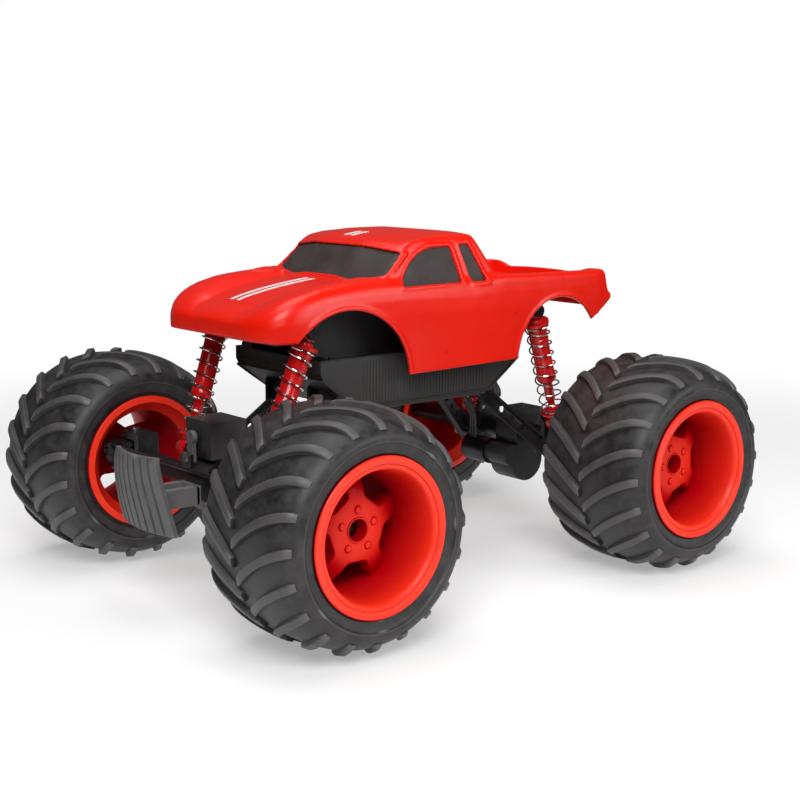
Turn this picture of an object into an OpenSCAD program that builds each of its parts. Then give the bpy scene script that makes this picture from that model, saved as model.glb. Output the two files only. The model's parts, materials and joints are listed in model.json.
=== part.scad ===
// Radio-controlled monster truck with two solid axles on trailing links.
// +X points forward, +Y to the left and +Z up; Z = 0 is the ground under the tyres.

/* [Chassis and stance] */
// Distance between the front and the rear axle
wheelbase = 226; // [220:1:232]
// Distance from the middle of the truck to a wheel's middle plane
half_track = 106; // [105:0.5:108]
// Height of the underside of the chassis tub
tub_z = 96.5; // [94:0.5:98]
// Half width of the chassis tub
tub_half_w = 40; // [38:0.5:42]

/* [Wheels] */
// Radius over the tyre lugs
tyre_r = 60; // [58:0.5:60]
// Width of a tyre
tyre_w = 74; // [70:1:74]
// Radius of the rim's outer lip
rim_r = 38.6; // [38:0.1:40]
// Number of tread lugs on each half of a tyre
lug_count = 20; // [12:1:24]
// Number of spokes in a rim
spoke_count = 5; // [4:1:6]

/* [Body shell] */
// Half width of the body at its widest
body_half_w = 55; // [53:0.5:56]
// Wall thickness of the body shell
shell_t = 1.8; // [1.4:0.1:2.2]

/* [Suspension] */
// Outside diameter of a shock's cylinder
shock_d = 10.7; // [10:0.1:11]
// Diameter of a shock's rod
rod_d = 5.8; // [5:0.1:6]
// Outside diameter of a coil spring
spring_d = 14.6; // [14.2:0.1:15]
// Thickness of the spring wire
spring_wire = 1; // [0.8:0.1:1.2]
// Number of coils in a spring
spring_turns = 11; // [8:1:12]

/* [Hidden] */
$fn = 48;
front = 1;
rear = -1;
left = 1;
right = -1;
body_red = [0.87, 0.12, 0.07];
rim_red = [0.93, 0.17, 0.09];
rubber = [0.16, 0.16, 0.17];
black_plastic = [0.1, 0.1, 0.11];
grey_plastic = [0.4, 0.4, 0.41];
metal = [0.75, 0.76, 0.78];
// Fits: running on a shaft, and standing still against a neighbour
run = 0.05;
fit = 0.02;

// Points of the suspension, measured from an axle's middle: [inboard, left, up]
shock_top = [32, 42, 82];
shock_low = [6, 36, 12];
link_top = [56, 20, 36];
link_low = [13, 37, -4];
shock_len = norm(shock_top - shock_low);
link_len = norm(link_top - link_low);
link_rise = atan2(link_top[2] - link_low[2], link_top[0] - link_low[0]);

// Drive train: teeth, tooth modules and shaft places from the axle line
final_n = 30;
idler_small_n = 12;
idler_big_n = 32;
pinion_n = 10;
final_m = 0.8;
motor_m = 0.6;
idler_at = (final_n + idler_small_n) * final_m / 2 * [cos(67.25), -sin(67.25)];
pinion_at = idler_at + (idler_big_n + pinion_n) * motor_m / 2 * [cos(19), sin(19)];
shaft_r = 2.5;
tube_r = 6;

// Steering
kingpin_y = 84;
tie_x = -16;
tie_z = 9.5;
horn_z = 26.5;
horn_len = 12;

// ---------- places ----------
module at_axle(end) {
    translate([end * wheelbase / 2, 0, tyre_r])
        if (end > 0) mirror([1, 0, 0]) children();
        else children();
}
module on_side(side) {
    if (side > 0) children();
    else mirror([0, 1, 0]) children();
}
module both_sides() {
    children();
    mirror([0, 1, 0]) children();
}
// Wheel frame: +Z points outward from the truck, the origin is the wheel's middle
module at_wheel(side) {
    on_side(side) translate([0, half_track, 0]) rotate([-90, 0, 0]) children();
}
// Bar along the truck's width through the point [x, z], between two values of y
module across(x, z, y0, y1, r) {
    translate([x, y1, z]) rotate([90, 0, 0]) cylinder(r = r, h = y1 - y0);
}
module block(x, y, z) {
    translate([x[0], y[0], z[0]]) cube([x[1] - x[0], y[1] - y[0], z[1] - z[0]]);
}
// Shock frame: origin at the top eye, -Z points down the shock
module at_shock(side) {
    on_side(side) translate(shock_top)
        rotate([-asin((shock_top[1] - shock_low[1]) / shock_len),
                atan2(shock_top[0] - shock_low[0], shock_top[2] - shock_low[2]), 0])
            children();
}

// ---------- body shell ----------
// Side outlines as [x, z], drawn in by t from the outside
function lower_side(t) = [
    [-62 + t, 117 - 2 * t], [88, 116 - 2 * t], [97, 137 - t], [106, 138 - 2 * t],
    [113.5 - t, 141], [114.5 - t, 150], [112 - t, 155.5 - t / 2], [104, 160 - t],
    [92, 163.3 - t], [63, 166 - t], [42, 167 - t], [-42, 165.4 - t],
    [-127 + t / 2, 164.6 - t], [-131 + t, 163.4 - t / 2], [-133.4 + t, 151.6],
    [-136.7 + t, 149.2], [-136.5 + t, 146], [-125 + t / 2, 138 + t / 2],
    [-119.8, 136.4 - 2 * t], [-104, 117 - 2 * t]
];
function cab_side(t) = [
    [46 - t, 160], [43.5 - t, 166.5], [30.5 - t, 183.5 - t / 2], [24, 187 - t],
    [8, 189.6 - t], [-10, 190.4 - t], [-25, 189.4 - t], [-31 + t, 186.5 - t / 2],
    [-44.5 + t, 165], [-46 + t, 160]
];
// Half sections as [y, z]
function lower_half(t) = [
    [body_half_w - 2.5 - t, 112], [body_half_w - 1.5 - t, 130],
    [body_half_w - t, 150], [body_half_w - 2 - t, 158],
    [body_half_w - 5 - t, 165 - t / 2], [body_half_w - 10, 168 - t]
];
function cab_half(t) = [
    [51.5 - t, 158], [50.5 - t, 166], [49 - t, 173], [44.5 - t, 186 - t / 2],
    [39 - t / 2, 189.6 - t], [20, 191 - t]
];
function mirrored(points) =
    concat(points, [for (i = [len(points) - 1 : -1 : 0]) [-points[i][0], points[i][1]]]);
module side_prism(points, half_w) {
    translate([0, half_w, 0]) rotate([90, 0, 0])
        linear_extrude(height = 2 * half_w) polygon(points);
}
module cross_prism(points) {
    translate([-150, 0, 0]) rotate([90, 0, 90])
        linear_extrude(height = 300) polygon(mirrored(points));
}
module plan_prism(t) {
    translate([0, 0, 90]) linear_extrude(height = 110)
        polygon([[-140, -52 + t], [-134, -54 + t], [-60, -60 + t], [95, -60 + t],
                 [108, -53 + t], [113.5 - t, -44 + t], [116 - t, 0], [113.5 - t, 44 - t],
                 [108, 53 - t], [95, 60 - t], [-60, 60 - t], [-134, 54 - t],
                 [-140, 52 - t]]);
}
module lower_form(t) {
    intersection() {
        side_prism(lower_side(t), 70);
        cross_prism(lower_half(t));
        plan_prism(t);
    }
}
module cab_form(t) {
    intersection() {
        side_prism(cab_side(t), 60);
        cross_prism(cab_half(t));
    }
}
door_window = [[26.4, 163.4], [24.2, 168], [19, 174.6], [12, 179.4], [3, 182],
               [-11.2, 182.4], [-13.6, 174], [-16.2, 163.4]];
slit_window = [[-24.2, 163.4], [-18.8, 182.6], [-24.4, 182.6], [-34.2, 163.4]];
windscreen = [[-45.4, 168.8], [-42.8, 180.6], [-20, 182.8], [20, 182.8], [42.8, 180.6],
              [45.4, 168.8], [20, 167.4], [0, 168.4], [-20, 167.4]];
rear_window = [[-36, 170], [-33, 184], [33, 184], [36, 170]];
bed = [[-127, -47], [-45, 45], [156, 180]];
module window_cuts() {
    side_prism(door_window, 70);
    side_prism(slit_window, 70);
    translate([20, 0, 0]) rotate([90, 0, 90]) linear_extrude(height = 25) polygon(windscreen);
    translate([-50, 0, 0]) rotate([90, 0, 90]) linear_extrude(height = 25)
        polygon(rear_window);
}
module body_shell() {
    color(body_red)
        difference() {
            union() {
                lower_form(0);
                cab_form(0);
            }
            difference() {
                lower_form(shell_t);
                block([-130, -44], [-48, 48], [bed[2][0] - shell_t, 180]);
            }
            difference() {
                cab_form(shell_t);
                block([-60, -44], [-60, 60], [150, 163]);
            }
            block([-127, -46.2], [-bed[1][1], bed[1][1]], bed[2]);
            across(64, 111, -70, 70, 42);
            across(-91.7, 117.8, -70, 70, 32.3);
            block([-140, 120], [-70, 70], [100, 115.8]);
            window_cuts();
        }
}
module window_panel() {
    color([0.28, 0.27, 0.27])
        difference() {
            cab_form(shell_t + fit);
            cab_form(shell_t + 1);
            block([-60, 60], [-60, 60], [150, 162]);
        }
}

// ---------- chassis ----------
deck_z = 124;
deck_top = 150;
function tub_side(t) = [
    [-45 + 0.4 * t, tub_z + t], [45 - 0.4 * t, tub_z + t], [70 - t, 115],
    [72 - t, 119], [72 - t, deck_z + 9 * t], [-72 + t, deck_z + 9 * t],
    [-72 + t, 119], [-70 + t, 115]
];
door_x = [-40, 10];
door_y = 26;
switch_x = 27;
module tub_form(t) {
    side_prism(tub_side(t), tub_half_w - t);
}
module chassis_tub() {
    link_x = wheelbase / 2 - link_top[0];
    link_z = tyre_r + link_top[2];
    color(black_plastic)
        difference() {
            union() {
                difference() {
                    tub_form(0);
                    tub_form(2);
                }
                for (x = [-38, 38], y = [-34.5, 34.5])
                    translate([x, y, tub_z + 1]) cylinder(r = 2, h = 117 - tub_z - 1);
                for (end = [front, rear], side = [left, right], ear = [[13.4, 16], [24, 26.4]])
                    on_side(side) difference() {
                        union() {
                            across(end * link_x, link_z, ear[0], ear[1], 4.6);
                            block([end * link_x - 4.6, end * link_x + 4.6], ear,
                                  [link_z, link_z + 12]);
                        }
                        tub_form(1);
                    }
            }
            block(door_x, [-door_y, door_y], [tub_z - 1, tub_z + 3]);
            block([switch_x - 4.6, switch_x + 4.6], [-1.6, 1.6], [tub_z - 1, tub_z + 3]);
            for (end = [front, rear])
                across(end * link_x, link_z, -40, 40, 1.5 + fit);
        }
}
module chassis_deck() {
    color(black_plastic) {
        difference() {
            union() {
                block([-72, 72], [-tub_half_w, tub_half_w], [deck_z + fit, deck_z + 2]);
                block([-62, 62], [-33, 33], [deck_z + 1, deck_top]);
            }
            block([-60, 60], [-31, 31], [deck_z - 1, deck_top - 2]);
            for (x = [-67, 67], y = [-36, 36])
                translate([x, y, deck_z - 1]) cylinder(r = 1.5 + fit, h = 5);
        }
        for (y = [-20, 20]) {
            translate([-54, y, deck_top - 1]) cylinder(r = 4, h = 155.1 - deck_top);
            translate([50, y, deck_top - 1]) cylinder(r = 4, h = 165 - deck_top);
        }
    }
}
module shock_tower(end) {
    top_x = shock_top[0];
    color(black_plastic)
        at_axle(end) {
            difference() {
                union() {
                    block([41, 51 - fit], [-33, 33], [66.1, 88]);
                    block([top_x - 5, 44], [-33, 33], [77, 88]);
                    block([19, 44], [-32, 32], [74.5, 77.5]);
                    both_sides() across(top_x, shock_top[2], 30, 37.5, 5);
                }
                block([38, 60], [-24, 24], [60, 83]);
                across(top_x, shock_top[2], -40, 40, 1.6 + fit);
            }
        }
}
module battery_pack() {
    color([0.2, 0.32, 0.5])
        for (y = [-21.9, -7.3, 7.3, 21.9])
            translate([door_x[0] + 1, y, 107.2]) rotate([0, 90, 0]) cylinder(r = 7.4, h = 48);
}
module battery_door() {
    color(black_plastic)
        difference() {
            block([door_x[0] + 0.2, door_x[1] - 0.2], [-door_y + 0.2, door_y - 0.2],
                  [tub_z, tub_z + 1.8]);
            for (i = [0 : 5])
                block([door_x[0] + 6 + i * 3, door_x[0] + 7.5 + i * 3], [-12, 12],
                      [tub_z - 1, tub_z + 0.6]);
        }
}
module receiver_board() {
    color([0.1, 0.35, 0.18]) {
        block([-40, 40], [-36, 36], [117, 118.6]);
        block([-14, 2], [-8, 8], [118, 121]);
        block([14, 26], [-20, -6], [118, 122.5]);
        translate([18, 12, 118]) cylinder(r = 4, h = 5.5);
        translate([-28, 18, 118]) cylinder(r = 3, h = 5);
    }
}
module chassis_screws() {
    link_x = wheelbase / 2 - link_top[0];
    color(metal) {
        for (x = [-67, 67], y = [-36, 36]) {
            translate([x, y, deck_z + 2 + fit]) cylinder(r = 3, h = 1.8);
            translate([x, y, deck_z - 4]) cylinder(r = 1.5, h = 7);
        }
        for (end = [front, rear], side = [left, right])
            on_side(side) {
                across(end * link_x, tyre_r + link_top[2], 13.4, 27, 1.5);
                across(end * link_x, tyre_r + link_top[2], 26.45, 28, 3);
            }
        for (end = [front, rear])
            at_axle(end) both_sides() {
                across(shock_top[0], shock_top[2], 31, 46, 1.6);
                across(shock_top[0], shock_top[2], 45.3, 47.5, 3.6);
            }
    }
}
module power_switch() {
    color(black_plastic) {
        block([switch_x - 9, switch_x + 5], [-3.5, 3.5], [tub_z + 2.1, tub_z + 3.4]);
        block([switch_x - 4.5, switch_x + 0.5], [-1.5, 1.5], [tub_z - 1.4, tub_z + 2.5]);
    }
}
module motor_wires(end) {
    color([0.08, 0.08, 0.08])
        at_axle(end) for (y = [-11.4, -8.4]) {
            translate([25, y, 0]) cylinder(r = 0.8, h = 20);
            translate([25, y, 20]) sphere(r = 0.8);
            translate([25, y, 20]) rotate([0, 49, 0]) cylinder(r = 0.8, h = 39);
        }
}

// ---------- axle assemblies ----------
module case_form(grow, y0, y1) {
    across(0, 0, y0, y1, 13.6 + grow);
    across(idler_at[0], idler_at[1], y0, y1, 11 + grow);
    across(pinion_at[0], pinion_at[1], y0, y1, 4.6 + grow);
}
split_x = -9;
module axle_housing(end) {
    tube_end = end > 0 ? 73 : 98;
    color(black_plastic)
        at_axle(end) difference() {
            union() {
                difference() {
                    union() {
                        case_form(2, -6, 13);
                        block([-7, 9], [-6, 13], [10, 16.4]);
                    }
                    case_form(0, -4, 11);
                    block([-30, split_x], [-20, 20], [-40, 40]);
                }
                difference() {
                    both_sides() {
                        across(0, 0, 11.5, tube_end, tube_r);
                        across(shock_low[0], shock_low[2], 27, 30, 4);
                        block([-3, shock_low[0] + 3], [27, 30], [0, shock_low[2]]);
                        across(link_low[0], link_low[2], 28.4, 31, 4);
                        block([0, link_low[0]], [28.4, 31], [-7.5, -1]);
                    }
                    block([-30, split_x], [-100, 100], [-40, 40]);
                }
                mirror([0, 1, 0]) across(0, 0, 5, 13, tube_r);
                across(idler_at[0], idler_at[1], -5, 12, 1.5);
                if (end > 0) both_sides() {
                    block([-6.5, 6.5], [69, 73.5], [-15.8, 15.8]);
                    for (z = [[-15.8, -11.8], [11.8, 15.8]]) {
                        block([-6.5, 6.5], [69, kingpin_y], z);
                        translate([0, kingpin_y, z[0]]) cylinder(r = 6.5, h = 4);
                    }
                }
            }
            across(0, 0, -9, 9, 4);
            both_sides() {
                across(0, 0, 8.9, tube_end - 8, 3.4);
                across(0, 0, tube_end - 9, tube_end + 2, shaft_r + run);
                across(shock_low[0], shock_low[2], 20, 31, 1.2 + fit);
                across(link_low[0], link_low[2], 20, 33, 1.2 + fit);
                if (end > 0)
                    translate([0, kingpin_y, -20]) cylinder(r = 1.5 + fit, h = 40);
            }
            across(pinion_at[0], pinion_at[1], -10, 0, 1.4);
        }
}
module gearbox_cover(end) {
    color(black_plastic)
        at_axle(end) difference() {
            case_form(2, -6, 13);
            case_form(0, -4, 11);
            block([split_x - fit, 40], [-20, 20], [-40, 40]);
        }
}
module axle_screws(end) {
    color(metal)
        at_axle(end) both_sides() {
            across(shock_low[0], shock_low[2], 27.2, 43, 1.2);
            across(shock_low[0], shock_low[2], 42.6, 44.2, 3.2);
            across(link_low[0], link_low[2], 28.6, 43, 1.2);
            across(link_low[0], link_low[2], 42.2, 43.8, 3);
            if (end > 0) for (flip = [0, 1]) mirror([0, 0, flip]) {
                translate([0, kingpin_y, 9.7]) cylinder(r = 1.5, h = 7);
                translate([0, kingpin_y, 15.8 + fit]) cylinder(r = 3, h = 1.6);
            }
        }
    color(metal)
        at_axle(end) mirror([0, 1, 0]) pivot_sphere(1.2 + fit);
}
// Ball on a shock's lower screw
module pivot_sphere(bore) {
    translate(shock_low) rotate([90, 0, 0]) rotate_extrude() intersection() {
        circle(r = 2.6);
        translate([bore, -4]) square([4, 8]);
    }
}
module pivot_ball(end) {
    color(metal) at_axle(end) pivot_sphere(1.9);
}
module bumper() {
    color(grey_plastic)
        at_axle(front) {
            difference() {
                intersection() {
                    block([-53, -47], [-20, 20], [-18, 23]);
                    across(-9, 2, -20, 20, 45);
                    rotate([90, 0, 90]) translate([0, 0, -60]) linear_extrude(height = 60)
                        polygon([[-20, -18], [20, -18], [20, 8], [15, 23], [-15, 23], [-20, 8]]);
                }
                for (i = [-3 : 3])
                    block([-60, -52.2], [i * 5 - 0.8, i * 5 + 0.8], [-30, 30]);
            }
            block([-48, -15.7], [-6, -2], [-7, 3]);
            block([-48, -15.7], [8, 12], [-7, 3]);
            block([-19, -15.7], [-6, 12], [-7, 3]);
        }
}
module motor(end) {
    color([0.12, 0.12, 0.13])
        at_axle(end) difference() {
            union() {
                across(pinion_at[0], pinion_at[1], -26, -6 - fit, 8);
                across(pinion_at[0], pinion_at[1], -28, -25, 4);
                block([pinion_at[0] + 3, pinion_at[0] + 5], [-29, -25],
                      [pinion_at[1] - 1, pinion_at[1] + 1]);
                block([pinion_at[0] - 5, pinion_at[0] - 3], [-29, -25],
                      [pinion_at[1] - 1, pinion_at[1] + 1]);
            }
            across(pinion_at[0], pinion_at[1], -16, 0, 1 + run);
        }
}
servo_z = [16.42, 36];
module steering_servo() {
    color(black_plastic)
        at_axle(front) difference() {
            union() {
                block([-11.8, 10], [-8, 16], servo_z);
                translate([-12.1, 0, horn_z]) rotate([0, 90, 0]) cylinder(r = 4, h = 2);
            }
            translate([-13, 0, horn_z]) rotate([0, 90, 0]) cylinder(r = 2 + run, h = 6);
        }
}
module servo_horn() {
    color(grey_plastic)
        at_axle(front) {
            translate([-14.9, 0, horn_z]) rotate([0, 90, 0]) cylinder(r = 3.6, h = 2.6);
            translate([-13.5, 0, horn_z]) rotate([0, 90, 0]) cylinder(r = 2, h = 5);
            translate([-14.9, 0, horn_z - horn_len]) rotate([0, 90, 0]) cylinder(r = 2.4, h = 2.6);
            block([-14.9, -12.3], [-2.2, 2.2], [horn_z - horn_len, horn_z]);
            translate([-17.6, 0, horn_z - horn_len]) rotate([0, 90, 0]) cylinder(r = 1, h = 3);
        }
}
module tie_rod() {
    color(black_plastic)
        at_axle(front) difference() {
            union() {
                across(tie_x, tie_z, -82, 82, 1.3);
                both_sides() translate([tie_x, kingpin_y, 8.3]) cylinder(r = 3.4, h = 2.4);
                block([-17, -15.2], [-4, 4], [9, 18]);
            }
            block([-19, -14], [-1.4, 1.4], [horn_z - horn_len - 1.4, 20]);
            both_sides() {
                for (dx = [-0.1, 1.6])
                    translate([tie_x + dx, kingpin_y, 7]) cylinder(r = 1.45, h = 5);
                block([tie_x - 0.1, tie_x + 1.6], [kingpin_y - 1.45, kingpin_y + 1.45], [7, 12]);
            }
        }
}

// ---------- links and shocks ----------
module lower_link(end, side) {
    travel = 1.9;
    out = travel * [-cos(link_rise), -sin(link_rise)];
    color(black_plastic)
        at_axle(end) on_side(side) difference() {
            union() {
                across(link_top[0], link_top[2], 16.3, 23.7, 4.4);
                across(link_low[0], link_low[2], 35.5, 38.5, 4.4);
                across(link_low[0] + out[0], link_low[2] + out[1], 35.5, 38.5, 4.4);
                translate(link_low)
                    rotate([0, -asin((link_top[2] - link_low[2]) / link_len),
                            atan2(link_top[1] - link_low[1], link_top[0] - link_low[0])])
                        difference() {
                            block([1, link_len - 1], [-2, 2], [-4.4, 4.4]);
                            block([8, link_len - 8], [-0.6, 3], [-3, 3]);
                            for (i = [0 : 2])
                                across(link_len / 2 + 9 * (i - 1), 0, -5, 5, 2);
                        }
            }
            across(link_top[0], link_top[2], 10, 30, 1.5 + run);
            for (k = [0, 1])
                across(link_low[0] + k * out[0], link_low[2] + k * out[1], 30, 44, 1.95);
            translate([link_low[0], 37, link_low[2]]) rotate([0, -link_rise, 0])
                block([-travel, 0], [-6, 6], [-1.95, 1.95]);
        }
}
cyl_from = 7;
cyl_to = 46;
module shock_body(end, side) {
    color(body_red)
        at_axle(end) difference() {
            union() {
                at_shock(side) {
                    translate([0, 0, -cyl_to]) cylinder(d = shock_d, h = cyl_to - cyl_from);
                    translate([0, 0, -cyl_from - 2]) cylinder(d = 15.4, h = 2);
                    translate([0, 0, -cyl_from - 1]) cylinder(d = 6.4, h = 5);
                }
                on_side(side) across(shock_top[0], shock_top[2], 39, 45, 4.6);
            }
            on_side(side) across(shock_top[0], shock_top[2], 36, 48, 1.6 + run);
            at_shock(side) {
                translate([0, 0, -cyl_to + 2.5]) cylinder(r = 4.05, h = 30);
                translate([0, 0, -cyl_to - 1]) cylinder(d = rod_d + 2 * run, h = 5);
            }
        }
}
seat_at = 68.5;
module shock_rod(end, side) {
    color(body_red)
        at_axle(end) difference() {
            union() {
                at_shock(side) {
                    translate([0, 0, -60]) cylinder(d = rod_d, h = 31);
                    translate([0, 0, -30]) cylinder(r = 4, h = 3);
                    translate([0, 0, -shock_len + 4.5]) cylinder(d = 4, h = shock_len - 62);
                    translate([0, 0, -seat_at]) cylinder(d = 14.6, h = 1.6);
                    translate([0, 0, -seat_at]) cylinder(d = 7.6, h = 3.4);
                }
                on_side(side) across(shock_low[0], shock_low[2], 33.5, 38.5, 5.6);
            }
            on_side(side) across(shock_low[0], shock_low[2], 30, 42, 3.9);
        }
}
// Coil as one closed sweep of a small polygon along the helix
coil_steps = 14;
coil_faces = 6;
coil_r = (spring_d - spring_wire) / 2;
coil_top = -cyl_from - 2 - spring_wire / 2 - 0.1;
coil_low = -seat_at + 1.6 + spring_wire / 2 + 0.1;
function coil_point(i, j) =
    let (a = i * 360 / coil_steps,
         b = j * 360 / coil_faces,
         r = coil_r + spring_wire / 2 * cos(b),
         z = coil_low + (coil_top - coil_low) * i / (coil_steps * spring_turns))
    [r * cos(a), r * sin(a), z + spring_wire / 2 * sin(b)];
module spring(end, side) {
    n = coil_steps * spring_turns;
    points = [for (i = [0 : n], j = [0 : coil_faces - 1]) coil_point(i, j)];
    skin = [for (i = [0 : n - 1], j = [0 : coil_faces - 1])
                let (k = (j + 1) % coil_faces)
                [i * coil_faces + j, (i + 1) * coil_faces + j,
                 (i + 1) * coil_faces + k, i * coil_faces + k]];
    first = [for (j = [0 : coil_faces - 1]) j];
    last = [for (j = [coil_faces - 1 : -1 : 0]) n * coil_faces + j];
    color(metal) at_axle(end) at_shock(side)
        polyhedron(points = points, faces = concat(skin, [first], [last]));
}

// ---------- steering and wheels ----------
module knuckle(side) {
    color(black_plastic)
        at_axle(front) on_side(side) difference() {
            union() {
                across(0, 0, kingpin_y - 5, 98, 11.3);
                block([tie_x, -8], [kingpin_y - 3.4, kingpin_y + 3.4], [4.6, 8]);
                translate([tie_x, kingpin_y, 4.6]) cylinder(r = 3.4, h = 3.4);
                translate([tie_x, kingpin_y, 6]) cylinder(r = 1.2, h = 5.6);
            }
            across(0, 0, kingpin_y - 6, 92, 9.2);
            across(0, 0, 91, 99, 3 + run);
            translate([0, kingpin_y, -13]) cylinder(r = 1.5 + run, h = 26);
        }
}
module stub_axle(side) {
    color(metal)
        at_axle(front) on_side(side) difference() {
            union() {
                across(0, 0, kingpin_y - 5, 91.5, 8);
                across(0, 0, 90, 99.5, 3);
                across(0, 0, 99, half_track + 9, shaft_r);
                across(0, 0, half_track + 9, half_track + 11.4, 4);
            }
            across(0, 0, kingpin_y - 6, kingpin_y + 5.4, 5.4);
            block([-1.45, 1.45], [kingpin_y - 6, kingpin_y + 5.2], [-12, 12]);
        }
}
// Gear tooth outline: root and tip angles narrow enough to run with backlash
function gear_points(n, m) =
    let (p = n * m / 2, step = 360 / n)
    [for (i = [0 : n - 1], q = [[-0.36, -1.2], [-0.1, 0.75], [0.1, 0.75], [0.36, -1.2]])
        let (a = (i + q[0]) * step, r = p + q[1] * m)
        [r * cos(a), r * sin(a)]];
module gear(n, m, at, y, bore, turn) {
    translate([at[0], y[1], at[1]]) rotate([90, 0, 0])
        linear_extrude(height = y[1] - y[0]) rotate(turn) difference() {
            polygon(gear_points(n, m));
            circle(r = bore);
        }
}
module final_gear() {
    difference() {
        gear(final_n, final_m, [0, 0], [5, 10], 1, -67.25);
        across(0, 0, 4, 11, 2);
    }
}
module front_drive_shaft() {
    color(metal)
        at_axle(front) {
            across(0, 0, -kingpin_y + 2, kingpin_y - 2, shaft_r);
            both_sides() {
                translate([0, kingpin_y, 0]) sphere(r = 5);
                translate([0, kingpin_y, -7.6]) cylinder(r = 1.1, h = 15.2);
            }
            final_gear();
        }
}
module rear_axle_shaft() {
    color(metal)
        at_axle(rear) {
            across(0, 0, -half_track - 9, half_track + 9, shaft_r);
            both_sides() across(0, 0, half_track + 9, half_track + 11.4, 4);
            final_gear();
        }
}
module idler_gear(end) {
    color([0.85, 0.85, 0.8])
        at_axle(end) difference() {
            union() {
                gear(idler_small_n, final_m, idler_at, [4.5, 10.5], 0.5, 112.75 + 15);
                gear(idler_big_n, motor_m, idler_at, [-3, 2], 0.5, 19);
                across(idler_at[0], idler_at[1], 1, 5, 3.4);
            }
            across(idler_at[0], idler_at[1], -10, 20, 1.5 + run);
        }
}
module pinion(end) {
    color(metal)
        at_axle(end) {
            gear(pinion_n, motor_m, pinion_at, [-3, 2], 0.5, 199 + 18);
            across(pinion_at[0], pinion_at[1], -15, 2, 1);
        }
}
module rim() {
    lip = 36.3;
    spoke_w = 9.6;
    difference() {
        union() {
            rotate_extrude($fn = 96) polygon([
                [34, -lip], [rim_r - 1.3, -lip], [rim_r - 1.3, -lip + 1.7], [36, -lip + 1.7],
                [36, -25], [31, -21], [31, 21], [36, 25], [36, lip - 1.7],
                [rim_r, lip - 1.7], [rim_r, lip], [34.5, lip], [34.3, lip - 1.8],
                [32, lip - 2.6], [30, 28], [28.5, 10], [28.5, -30]]);
            cylinder(r = 13.5, h = 17.5);
            translate([0, 0, -6]) cylinder(r = 7, h = 12);
            for (i = [0 : spoke_count - 1]) rotate(i * 360 / spoke_count - 90) {
                translate([10, -spoke_w / 2, 8.5]) cube([19.5, spoke_w, 9]);
                translate([9.7, 0, 17]) cylinder(r = 2.1, h = 1.8);
            }
        }
        translate([0, 0, -7]) cylinder(r = shaft_r + fit, h = 20);
        translate([0, 0, 9 - fit]) cylinder(r = 5.3, h = 12);
    }
}
// The same profile on the wheel's other half, and a list of points read backwards
function other_half(points) = [for (q = points) [q[0], -q[1]]];
function backwards(points) = [for (i = [len(points) - 1 : -1 : 0]) points[i]];
module tyre() {
    half_w = tyre_w / 2;
    base = tyre_r - 2.6;
    outer = [[36.1, 26], [36.1, 34.4], [38.8, 34.4], [39.3, 35.8], [42, half_w - 0.4],
             [46, half_w], [50, half_w - 0.6], [54, half_w - 3], [56.4, half_w - 7],
             [base, half_w - 13], [base + 0.1, 8]];
    inner = [[39.5, 26], [42, 30], [47, 32], [51, 29], [53, 22], [53.6, 8]];
    rotate_extrude($fn = 96) polygon(concat(
        outer, other_half(backwards(outer)), other_half(inner), backwards(inner)));
    for (half = [0, 1]) mirror([0, 0, half])
        for (i = [0 : lug_count - 1])
            rotate((i + half / 2) * 360 / lug_count) translate([0, 2.5, 17])
                rotate([22, 0, 0]) translate([0, 0, -17]) rotate([90, 0, 0])
                    linear_extrude(height = 5)
                        polygon([[55.5, 1], [tyre_r - 0.45, 1], [tyre_r - 0.45, half_w - 16],
                                 [58.2, half_w - 6], [53, half_w - 1.4], [48, half_w + 0.6],
                                 [48, half_w - 2], [54, half_w - 6]]);
}
module front_rim(side) {
    color(rim_red) at_axle(front) at_wheel(side) rim();
}
module front_tyre(side) {
    color(rubber) at_axle(front) at_wheel(side) mirror([1, 0, 0]) tyre();
}
module rear_rims() {
    color(rim_red) at_axle(rear) both_sides() at_wheel(left) rim();
}
module rear_tyres() {
    color(rubber) at_axle(rear) both_sides() at_wheel(left) tyre();
}

body_shell();
window_panel();
chassis_tub();
chassis_deck();
shock_tower(front);  // front_shock_tower
shock_tower(rear);  // rear_shock_tower
battery_pack();
battery_door();
receiver_board();
chassis_screws();
power_switch();
motor_wires(front);  // front_motor_wires
motor_wires(rear);  // rear_motor_wires
pivot_ball(front);  // front_pivot_ball
pivot_ball(rear);  // rear_pivot_ball
axle_housing(front);  // front_axle_housing
gearbox_cover(front);  // front_gearbox_cover
bumper();  // front_bumper
motor(front);  // front_motor
steering_servo();
axle_screws(front);  // front_axle_screws
axle_housing(rear);  // rear_axle_housing
gearbox_cover(rear);  // rear_gearbox_cover
motor(rear);  // rear_motor
axle_screws(rear);  // rear_axle_screws
lower_link(front, left);  // front_left_link
lower_link(front, right);  // front_right_link
lower_link(rear, left);  // rear_left_link
lower_link(rear, right);  // rear_right_link
shock_body(front, left);  // front_left_shock_body
shock_body(front, right);  // front_right_shock_body
shock_body(rear, left);  // rear_left_shock_body
shock_body(rear, right);  // rear_right_shock_body
shock_rod(front, left);  // front_left_shock_rod
shock_rod(front, right);  // front_right_shock_rod
shock_rod(rear, left);  // rear_left_shock_rod
shock_rod(rear, right);  // rear_right_shock_rod
spring(front, left);  // front_left_spring
spring(front, right);  // front_right_spring
spring(rear, left);  // rear_left_spring
spring(rear, right);  // rear_right_spring
knuckle(left);  // left_knuckle
knuckle(right);  // right_knuckle
tie_rod();
servo_horn();
front_rim(left);  // front_left_rim
front_rim(right);  // front_right_rim
front_tyre(left);  // front_left_tyre
front_tyre(right);  // front_right_tyre
stub_axle(left);  // left_stub_axle
stub_axle(right);  // right_stub_axle
front_drive_shaft();
idler_gear(front);  // front_idler_gear
pinion(front);  // front_pinion
rear_rims();
rear_tyres();
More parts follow.
